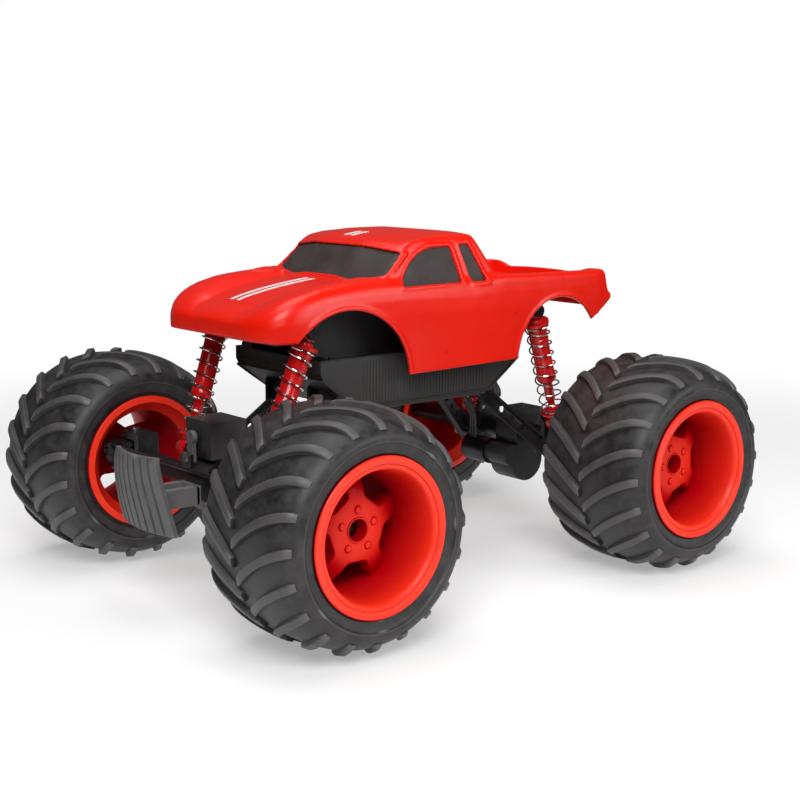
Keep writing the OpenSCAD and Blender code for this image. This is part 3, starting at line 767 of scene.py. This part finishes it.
# Carcass surface from the middle of the tread to the sidewall: (radius, across)
TREAD_SURFACE = [(57.4, 0), (57.3, 8), (57.0, 15), (56.2, 21.5), (54.9, 27), (52.9, 31.6),
                 (50.4, 34.9), (47.6, 36.6), (45.4, 36.9)]
SIDEWALL = [(44.7, 36.8), (44.3, 36.2), (43.8, 35.9), (43.2, 35.5), (41, 35.2), (39.6, 35.1),
            (38.9, 34.7), (38.7, 34.2), (36.15, 34.2), (36.15, 27)]
CARCASS_INSIDE = [(39, 26.4), (42, 30), (46, 32), (50, 30), (52.6, 25), (53.4, 14), (53.6, 0)]


def on_tread(t):
    """Point and outward normal on the carcass, t from 0 (middle) to 1 (end of a lug)."""
    lengths = [0]
    pts = TREAD_SURFACE
    for a, b in zip(pts, pts[1:]):
        lengths.append(lengths[-1] + math.dist(a, b))
    goal = lengths[-1] * t
    for i in range(len(pts) - 1):
        if goal <= lengths[i + 1] or i == len(pts) - 2:
            k = (goal - lengths[i]) / (lengths[i + 1] - lengths[i])
            r = blend_of(pts[i][0], pts[i + 1][0], k)
            w = blend_of(pts[i][1], pts[i + 1][1], k)
            break

    def slope(j):
        a, b = pts[max(j - 1, 0)], pts[min(j + 1, len(pts) - 1)]
        return Vector((b[1] - a[1], a[0] - b[0])).normalized()
    normal = (slope(i) * (1 - k) + slope(i + 1) * k).normalized()
    return r, w, normal


LUGS = 20
LUG_STATIONS = 16
LUG_SWEEP = 19.5
TREAD_R = 57
LUG_W = 2.7


def lug(angle, half):
    """One curved tread bar from the middle of the tread down to the sidewall."""
    rings = []
    for k in range(LUG_STATIONS + 1):
        t = k / LUG_STATIONS
        r, w, n = on_tread(0.012 + 0.86 * t)
        high = blend_of(2.6, 2.5, t) if t < 0.7 else blend_of(2.5, 1.1, (t - 0.7) / 0.3)
        wide = LUG_W * (1 - 0.12 * t)
        if k in (0, LUG_STATIONS):
            high -= 0.5
            wide -= 0.35
        drift = LUG_SWEEP * (1 - (1 - t) ** 1.55)
        section = [(-wide - 0.5, -1.2), (-wide, high * 0.55), (-wide + 0.25, high - 0.25),
                   (-wide + 0.75, high), (wide - 0.75, high), (wide - 0.25, high - 0.25),
                   (wide, high * 0.55), (wide + 0.5, -1.2)]
        ring = []
        for d, h in section:
            rr = min(r + n.x * h, TYRE_R - 0.02)
            a = angle - (drift - d) / TREAD_R
            ring.append((rr * math.cos(a), rr * math.sin(a), half * (w + n.y * h)))
        rings.append(ring)
    return loft(rings)


def tyre_solid():
    """Carcass and tread bars in the wheel frame; the two halves' bars are half a step apart."""
    solid = Solid()
    half = soft_line(TREAD_SURFACE) + soft_line(SIDEWALL, 1)
    inside = soft_line(CARCASS_INSIDE)
    loop = [(r, -w) for r, w in half[::-1]] + half[1:]
    loop += inside + [(r, -w) for r, w in inside[::-1][1:]]
    solid.add(*revolve(loop, 128))
    for side, shift in ((1, 0), (-1, 0.5)):
        for k in range(LUGS):
            solid.add(*lug(2 * math.pi * (k + shift) / LUGS, side))
    return solid


def run_to(radius, corner, along):
    """The point where a straight run from a corner reaches a radius."""
    t = 0
    while (corner + along * t).length < radius:
        t += 0.05
    return corner + along * t


def rim_solid():
    """Deep five-spoke rim in the wheel frame, spoke 0 pointing up."""
    lip = 36.3
    solid = Solid()
    outer = [(28.3, -30), (33, -34.6), (33.6, -lip), (37.0, -lip), (37.3, -lip + 0.3),
             (37.3, -34.7), (36.05, -34.4), (36.05, -26), (31, -21), (31, 21), (36.05, 26),
             (36.05, 34.3), (38.3, 34.5), (38.6, 34.9), (38.6, lip - 0.5), (38.1, lip),
             (35.2, lip), (34.7, lip - 0.35), (34.5, lip - 0.9), (34.0, lip - 1.0),
             (32.6, lip - 1.0), (32.1, lip - 1.5), (31.4, lip - 3.2), (30.2, 27), (29.0, 12)]
    solid.add(*revolve(outer, 128))
    # star: a disc with five windows, hub pentagon in the middle
    spokes = 5
    half_spoke = 4.7
    hub_flat = 15.4
    reach = 29.9
    step = 2 * math.pi / spokes
    windows = []
    for k in range(spokes):
        mid = math.pi / 2 + (k + 0.5) * step
        # corners where a window's sides leave the hub's flat
        spread = math.tan(step / 2) * hub_flat - half_spoke / math.cos(step / 2)
        axis = Vector((math.cos(mid), math.sin(mid)))
        side = Vector((-axis.y, axis.x))
        inner_a = axis * hub_flat - side * spread
        inner_b = axis * hub_flat + side * spread
        along_a = Vector((math.cos(mid - step / 2), math.sin(mid - step / 2)))
        along_b = Vector((math.cos(mid + step / 2), math.sin(mid + step / 2)))
        end_a, end_b = run_to(reach, inner_a, along_a), run_to(reach, inner_b, along_b)
        a0 = math.atan2(end_a.y, end_a.x)
        a1 = math.atan2(end_b.y, end_b.x)
        if a1 < a0:
            a1 += 2 * math.pi
        rim_arc = [Vector((reach * math.cos(a), reach * math.sin(a)))
                   for a in (blend_of(a0, a1, j / 12) for j in range(13))]
        windows.append(rounded([inner_a, *rim_arc, inner_b], [3.4] + [0] * 13 + [3.4], 6))
    # dished disc: the spokes fall back towards the barrel
    face = [(5.5, 17.5), (9, 17.6), (14, 17.4), (18, 16.6), (22, 15.0), (26, 12.6), (30.2, 9.4)]
    back = [(30.2, 3.0), (24, 6.4), (17, 8.6), (5.5, 9.0)]
    star = tool(revolve(soft_line(face) + soft_line(back, 1), 120))
    for outline in windows:
        cut(star, tool(prism(outline, -5, 25)))
    remesh(star, 0.36)
    smoothed(star, 7)
    thinned(star)
    apply_all(star)
    solid.add([v.co / MM for v in star.data.vertices],
              [list(f.vertices) for f in star.data.polygons])
    bpy.data.objects.remove(star)
    # hub sleeve behind the star, with the blind recess of the wheel screw
    sleeve = [(2.6, -6), (7, -6), (7.4, -5.5), (7.4, 10), (6.6, 12), (5.5, 12), (5.4, 9.0), (2.6, 9.0)]
    solid.add(*revolve(sleeve, 48))
    ring = [(5.45, 16), (6.2, 16), (6.2, 17.8), (6.0, 18.0), (5.7, 18.0), (5.45, 17.8)]
    solid.add(*revolve(ring, 48))
    dome = [(0, -1.5), (2.0, -1.5), (2.0, 0.3), (1.75, 0.75), (1.2, 1.0), (0, 1.05)]
    for k in range(spokes):
        a = math.pi / 2 + k * step
        solid.add(*turned(dome, 20),
                  Matrix.Translation((9.9 * math.cos(a), 9.9 * math.sin(a), 17.35)))
    return solid


def build_wheels():
    """Four wheels from one tyre and one rim; the rear pair turns as one piece each."""
    # Spoke 0 is drawn along +Y of the wheel frame, which points down on the truck.
    up = Matrix.Rotation(math.pi, 4, "Z")
    rear_turn = Matrix.Rotation(math.radians(200), 4, "Z")
    for what, shape, material, slot in (("tyre", tyre_solid(), TYRE_RUBBER, "tyre"),
                                        ("rim", rim_solid(), RIM_RED, "rim_red")):
        pair = Solid()
        for side, word in ((1, "left"), (-1, "right")):
            wheel = Solid().add(shape.verts, shape.faces, wheel_matrix(FRONT_AXLE, side) @ up)
            hand_over(wheel.piece(f"front_{word}_{what}_look", material),
                      f"front_{word}_{what}", f"front_{word}_wheel")
            pair.add(shape.verts, shape.faces, wheel_matrix(REAR_AXLE, side) @ rear_turn)
        hand_over(pair.piece(f"rear_{what}s_look", material), f"rear_{what}s",
                  "rear_wheels")


# ---------------------------------------------------------------- shocks

SHOCK_D = 10.7
ROD_D = 5.8
CYL_TO = 46
SEAT_AT = 68.5
SPRING_R = 6.8
WIRE = 0.5
COILS = 9.5


def shock_frame(end, word):
    """Matrix of a shock, with the upper eye as origin and +Z up the rod; and the eye's place."""
    top = joint_at(f"{end}_{word}_shock_pivot")
    up = Vector(JOINTS[f"{end}_{word}_shock_stroke"]["axis"]).normalized()
    across = Vector((0, 1, 0))
    x = across.cross(up).normalized()
    y = up.cross(x)
    turn = Matrix((x, y, up)).transposed().to_4x4()
    return Matrix.Translation(top) @ turn, top


def eye_ring(centre, inner, outer, half):
    """A ring round the truck's Y axis."""
    loop = rounded([(inner, -half), (outer, -half), (outer, half), (inner, half)], 0.5, 2)
    verts, faces = revolve(loop, 36)
    turn = Matrix.Translation(centre) @ Matrix.Rotation(math.radians(90), 4, "X")
    return [turn @ Vector(v) for v in verts], faces


def build_shock(end, word):
    """Red cylinder, red rod with the spring's seat, and the steel spring between them."""
    place, top = shock_frame(end, word)
    bottom = shock_low_centre(end, word)
    r = SHOCK_D / 2
    body = Solid()
    profile = [(0, -4.6), (2.6, -4.6), (4.4, -5.2), (4.6, -6.6), (7.2, -6.8), (7.7, -7.2),
               (7.7, -8.6), (7.3, -9.0), (5.9, -9.1), (5.9, -12.6), (r, -13.2), (r, -17.6),
               (r + 0.35, -18), (r + 0.35, -19), (r, -19.4), (r, -CYL_TO + 5),
               (r + 0.4, -CYL_TO + 4.5), (r + 0.4, -CYL_TO + 0.6), (r, -CYL_TO),
               (3.4, -CYL_TO), (3.2, -CYL_TO + 0.4), (0, -CYL_TO + 0.4)]
    body.add(*turned(profile, 40), place)
    body.add(*eye_ring(top, 1.65, 4.6, 3))
    name = f"{end}_{word}_shock_body"
    hand_over(body.piece(f"{name}_look", SHOCK_RED), name, name)

    length = (top - bottom).length
    rod = Solid()
    q = ROD_D / 2
    profile = [(0, -38), (q, -38), (q, -59), (q - 0.4, -59.6), (2.1, -60.2), (2.1, -SEAT_AT + 4),
               (3.6, -SEAT_AT + 3.6), (3.8, -SEAT_AT + 1.8), (6.6, -SEAT_AT + 1.6),
               (7.3, -SEAT_AT + 1.2), (7.3, -SEAT_AT + 0.3), (6.9, -SEAT_AT), (3.4, -SEAT_AT - 0.4),
               (2.6, -SEAT_AT - 2), (2.6, -length + 5), (0, -length + 5)]
    rod.add(*turned(profile, 36), place)
    rod.add(*eye_ring(bottom, 3.9, 5.7, 2.5))
    name = f"{end}_{word}_shock_rod"
    hand_over(rod.piece(f"{name}_look", SHOCK_RED), name, name)

    high, low = -9.0 - WIRE - 0.1, -SEAT_AT + 1.6 + WIRE + 0.1
    path = []
    steps = int(COILS * 24)
    for k in range(steps + 1):
        t = k / steps
        a = 2 * math.pi * COILS * t
        # the last turn at each end lies almost flat on its seat
        flat = 0.75 / COILS
        if t < flat:
            s = 0.35 * t
        elif t > 1 - flat:
            s = 1 - 0.35 * (1 - t)
        else:
            s = blend_of(0.35 * flat, 1 - 0.35 * flat, (t - flat) / (1 - 2 * flat))
        path.append(Vector((SPRING_R * math.cos(a), SPRING_R * math.sin(a),
                            blend_of(high, low, s))))
    coil = Solid().add(*tube(path, WIRE), place)
    piece = coil.piece(f"{end}_{word}_spring_look", SPRING_STEEL)
    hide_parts(f"{end}_{word}_spring")
    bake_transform(piece)


def shock_low_centre(end, word):
    """Centre of a shock's lower eye: the eye is the lowest stretch of the CAD rod."""
    low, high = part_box(f"{end}_{word}_shock_rod")
    eye_r = 5.6
    x = high.x / MM - eye_r if end == "front" else low.x / MM + eye_r
    return Vector((x, 36 if word == "left" else -36, low.z / MM + eye_r))


# ---------------------------------------------------------------- bumper, tub ribs, wires


def build_bumper():
    """Grooved plate on two arms that reach back to the axle."""
    low, high = (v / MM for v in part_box("front_bumper"))
    ahead, z0, z1 = high.x, low.z, high.z
    mid = (z0 + z1) / 2
    solid = Solid()
    # ribbed plate: upright grooves across the width, bowed and tapered to the top
    half = 27
    grooves = 7
    rows = 14
    depth = [(-half, 0)]
    for k in range(grooves):
        middle = half * (2 * (k + 1) / (grooves + 1) - 1)
        depth += [(middle - 1.0, 0), (middle - 0.6, 1.8), (middle + 0.6, 1.8), (middle + 1.0, 0)]
    depth.append((half, 0))

    def front_at(y, z, groove):
        t = (z - z0) / (z1 - z0)
        bow = 8 * (1 - t) ** 1.4 + 1.5 * t ** 6 + 0.006 * y * y
        shape = groove if 0.06 < t < 0.94 else 0
        return ahead - bow - shape

    rings = []
    for i in range(rows + 1):
        t = i / rows
        z = blend_of(z0, z1, t)
        taper = blend_of(1, 0.74, t ** 1.6) - 0.04 * (1 - t) ** 4
        ring = [(front_at(y, z, g), y * taper, z) for y, g in depth]
        ring += [(front_at(y, z, 0) - 2.6, y * taper * 0.985, z) for y, g in depth[::-1]]
        rings.append(ring)
    solid.add(*loft(rings))
    for y0, y1 in ((-6, -2), (8, 12)):
        arm = rounded([(ahead - 6, mid - 9.5), (ahead - 4.4, mid + 0.5),
                       (low.x + 1, mid + 0.5), (low.x + 1, mid - 9.5)], 1.2, 2)
        solid.add(*prism(arm, y0, y1, ACROSS))
    foot = rounded([(low.x, -6), (low.x + 3, -6), (low.x + 3, 12), (low.x, 12)], 0.5, 2)
    solid.add(*prism(foot, mid - 9.5, mid + 0.5))
    piece = solid.piece("front_bumper_look", BUMPER_GREY, 35)
    bevelled(piece, 0.35, 35)
    hand_over(piece, "front_bumper", "front_axle")


def build_tub_ribs():
    """Fine upright ribs and a lower bead on the tub's sides."""
    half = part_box("chassis_tub")[1].y / MM
    bottom = frame["record"]["mounts"][0]["pos_m"][2] / MM  # the flat underside
    solid = Solid()
    for side in (1, -1):
        for k in range(-20, 21):
            x = 2.15 * k
            outline = [(x - 0.45, half - 0.3), (x - 0.3, half + 0.35), (x + 0.3, half + 0.35),
                       (x + 0.45, half - 0.3)]
            solid.add(*prism([(a, side * b) for a, b in outline], bottom + 4, 123.2))
        bead = [(47.5, bottom + 2.2), (62, bottom + 12.4), (71, bottom + 19)]
        path = [(-a, side * (half + 0.1), z) for a, z in bead[::-1]]
        path += [(a, side * (half + 0.1), z) for a, z in bead]
        solid.add(*tube(path, 0.7))
    piece = solid.piece("tub_ribs", TUB_PLASTIC, 30)
    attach(piece, "chassis")


def build_wires(end):
    """Motor wires: one run from the tub to the pivot ball's body, one from there to the motor."""
    axle = FRONT_AXLE if end == "front" else REAR_AXLE
    inward = -1 if end == "front" else 1

    def at(x, y, z):
        return Vector((axle.x + inward * x, y, axle.z + z))
    for index, (body_a, body_b) in enumerate((("chassis", f"{end}_pivot_ball"),
                                              (f"{end}_pivot_ball", f"{end}_axle"))):
        solid = Solid()
        for k in range(3):
            y = -12.6 + 2.2 * k
            sag = 2.5 * math.sin(2.1 * k + index)
            if index == 0:
                points = [at(52, y + 5, 44), at(46, y + 4, 36 + sag), at(40, y + 1, 33),
                          at(36, y - 2, 27 - sag), at(33, y - 1, 20)]
            else:
                points = [at(33, y - 1, 20), at(31, y - 1, 15), at(27, y - 3, 9 + sag * 0.4),
                          at(24, y - 7, 3), at(22, y - 9, -2), at(20, y - 9, -8)]
            solid.add(*tube(soft_line(points, 3), 0.85))
        piece = solid.piece(f"{end}_motor_wires_{index + 1}", WIRE_BLACK)
        if index == 0:
            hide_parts(f"{end}_motor_wires")
        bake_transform(piece)


# ---------------------------------------------------------------- carried-over CAD nodes

# Material, edge radius and the nodes that share them
NODE_LOOKS = (
    (TUB_PLASTIC, 0.6, ("chassis_tub",)),
    (BLACK_PLASTIC, 0.6, ("chassis_deck", "steering_servo")),
    (BLACK_PLASTIC, 0.5, ("front_shock_tower", "rear_shock_tower", "front_axle_housing",
                          "rear_axle_housing", "front_gearbox_cover", "rear_gearbox_cover")),
    (BLACK_PLASTIC, 0.45, ("front_left_link", "front_right_link", "rear_left_link",
                           "rear_right_link")),
    (BLACK_PLASTIC, 0.4, ("left_knuckle", "right_knuckle")),
    (BLACK_PLASTIC, 0.3, ("tie_rod",)),
    (BLACK_PLASTIC, 0.25, ("battery_door", "power_switch")),
    (BUMPER_GREY, 0.3, ("servo_horn",)),
    (BATTERY_BLUE, 0.4, ("battery_pack",)),
    (BOARD_GREEN, 0.1, ("receiver_board",)),
    (MOTOR_CAN, 0.35, ("front_motor", "rear_motor")),
    (BLACK_STEEL, 0.3, ("chassis_screws",)),
    (BLACK_STEEL, 0.25, ("left_stub_axle", "right_stub_axle")),
    (BLACK_STEEL, 0.1, ("rear_axle_shaft",)),
    (SCREW_STEEL, 0.25, ("front_axle_screws", "rear_axle_screws")),
    (SCREW_STEEL, 0.1, ("front_drive_shaft",)),
    (SCREW_STEEL, 0, ("front_pivot_ball", "rear_pivot_ball", "front_pinion", "rear_pinion")),
    (GEAR_NYLON, 0, ("front_idler_gear", "rear_idler_gear")),
)


def dress_nodes():
    """Materials, welded edges and a small edge radius for the CAD nodes that stay visible."""
    for material, width, names in NODE_LOOKS:
        for obj in (frame["nodes"][name] for name in names):
            obj.data.materials.clear()
            obj.data.materials.append(material)
            obj.modifiers.new("Weld", "WELD").merge_threshold = 0.002 * MM
            if width:
                bevelled(obj, width, 40)


# ---------------------------------------------------------------- studio


def faded_floor():
    """Pale floor that melts into the white surroundings away from the truck."""
    mat, tree, shader = new_material("studio_floor")
    speck = object_noise(tree, 3, 3)
    tree.links.new(mixed(tree, span(tree, speck, 0, 1), (0.62, 0.617, 0.62), (0.65, 0.647, 0.65)),
                   shader.inputs["Base Color"])
    shader.inputs["Roughness"].default_value = 0.7
    shader.inputs["Specular IOR Level"].default_value = 0.1
    coords = add_node(tree, "ShaderNodeTexCoord")
    length = add_node(tree, "ShaderNodeVectorMath", operation="LENGTH")
    tree.links.new(coords.outputs["Object"], length.inputs[0])
    fade = map_range(tree, length.outputs["Value"], (0.34, 0.85), kind="SMOOTHSTEP")
    clear = add_node(tree, "ShaderNodeBsdfTransparent")
    mix = add_node(tree, "ShaderNodeMixShader")
    shader.inputs["Emission Color"].default_value = (1, 1, 1, 1)
    shader.inputs["Emission Strength"].default_value = 0.36
    tree.links.new(fade, mix.inputs["Fac"])
    tree.links.new(shader.outputs["BSDF"], mix.inputs[1])
    tree.links.new(clear.outputs["BSDF"], mix.inputs[2])
    tree.links.new(mix.outputs["Shader"], tree.nodes["Material Output"].inputs["Surface"])
    return mat


def white_world():
    """White to the camera; to the truck, a soft sky, brighter overhead and from the far side."""
    world = bpy.data.worlds.new("studio")
    bpy.context.scene.world = world
    world.use_nodes = True
    tree = world.node_tree
    sky = tree.nodes["Background"]
    coords = add_node(tree, "ShaderNodeTexCoord")
    split = add_node(tree, "ShaderNodeSeparateXYZ")
    tree.links.new(coords.outputs["Generated"], split.inputs[0])
    top = map_range(tree, split.outputs["Z"], (0.2, 0.95), (0, 0.45), "SMOOTHSTEP")
    behind = add_node(tree, "ShaderNodeVectorMath", operation="DOT_PRODUCT")
    behind.inputs[1].default_value = (-0.62, -0.77, 0.1)
    tree.links.new(coords.outputs["Generated"], behind.inputs[0])
    back = map_range(tree, behind.outputs["Value"], (0.2, 0.9), (0, 2.1), "SMOOTHSTEP")
    total = add_node(tree, "ShaderNodeMath", operation="ADD")
    tree.links.new(top, total.inputs[0])
    tree.links.new(back, total.inputs[1])
    lifted = add_node(tree, "ShaderNodeMath", operation="ADD")
    tree.links.new(total.outputs[0], lifted.inputs[0])
    lifted.inputs[1].default_value = 0.12
    tree.links.new(lifted.outputs[0], sky.inputs["Strength"])
    white = add_node(tree, "ShaderNodeBackground", Color=(1, 1, 1, 1), Strength=1.0)
    path = add_node(tree, "ShaderNodeLightPath")
    mix = add_node(tree, "ShaderNodeMixShader")
    tree.links.new(path.outputs["Is Camera Ray"], mix.inputs["Fac"])
    tree.links.new(sky.outputs["Background"], mix.inputs[1])
    tree.links.new(white.outputs["Background"], mix.inputs[2])
    tree.links.new(mix.outputs["Shader"], tree.nodes["World Output"].inputs["Surface"])


def softbox(name, at, size, power):
    """A rectangular area light that faces the middle of the truck."""
    light = bpy.data.lights.new(name, "AREA")
    light.shape = "RECTANGLE"
    light.size, light.size_y = size
    light.energy = power
    obj = bpy.data.objects.new(name, light)
    obj.location = at
    aim = Vector((0, 0, 0.09)) - Vector(at)
    obj.rotation_euler = aim.to_track_quat("-Z", "Y").to_euler()
    bpy.context.scene.collection.objects.link(obj)


def build_studio():
    bm = bmesh.new()
    bmesh.ops.create_grid(bm, x_segments=4, y_segments=4, size=2)
    mesh = bpy.data.meshes.new("floor")
    bm.to_mesh(mesh)
    bm.free()
    floor = bpy.data.objects.new("floor", mesh)
    bpy.context.scene.collection.objects.link(floor)
    mesh.materials.append(faded_floor())
    white_world()
    softbox("key", (0.75, 0.95, 1.05), (0.8, 0.8), 19)
    softbox("side", (-0.65, 1.25, 0.55), (0.8, 0.5), 7)
    softbox("top", (0.1, -0.1, 1.5), (1.2, 1.0), 12)
    bpy.context.scene.view_settings.view_transform = "Standard"


CAMERA_AT = (518.6, 642.5, 238.7)
CAMERA_YAW = 231.06
CAMERA_PITCH = 9.77
LENS = 65.5
LENS_SHIFT = (0.0241, -0.0094)


def build_camera():
    data = bpy.data.cameras.new("camera")
    data.lens = LENS
    data.sensor_width = 36
    data.shift_x, data.shift_y = LENS_SHIFT
    data.clip_start = 0.01
    camera = bpy.data.objects.new("camera", data)
    camera.location = Vector(CAMERA_AT) * MM
    yaw, pitch = math.radians(CAMERA_YAW), math.radians(CAMERA_PITCH)
    look = Vector((math.cos(yaw) * math.cos(pitch), math.sin(yaw) * math.cos(pitch),
                   -math.sin(pitch)))
    camera.rotation_euler = look.to_track_quat("-Z", "Y").to_euler()
    bpy.context.scene.collection.objects.link(camera)
    bpy.context.scene.camera = camera


shell_piece = build_shell()
build_windows()
build_stripes(shell_piece)
build_wheels()
for axle_end in ("front", "rear"):
    for side_word in ("left", "right"):
        build_shock(axle_end, side_word)
    build_wires(axle_end)
build_bumper()
build_tub_ribs()
dress_nodes()
build_studio()
build_camera()
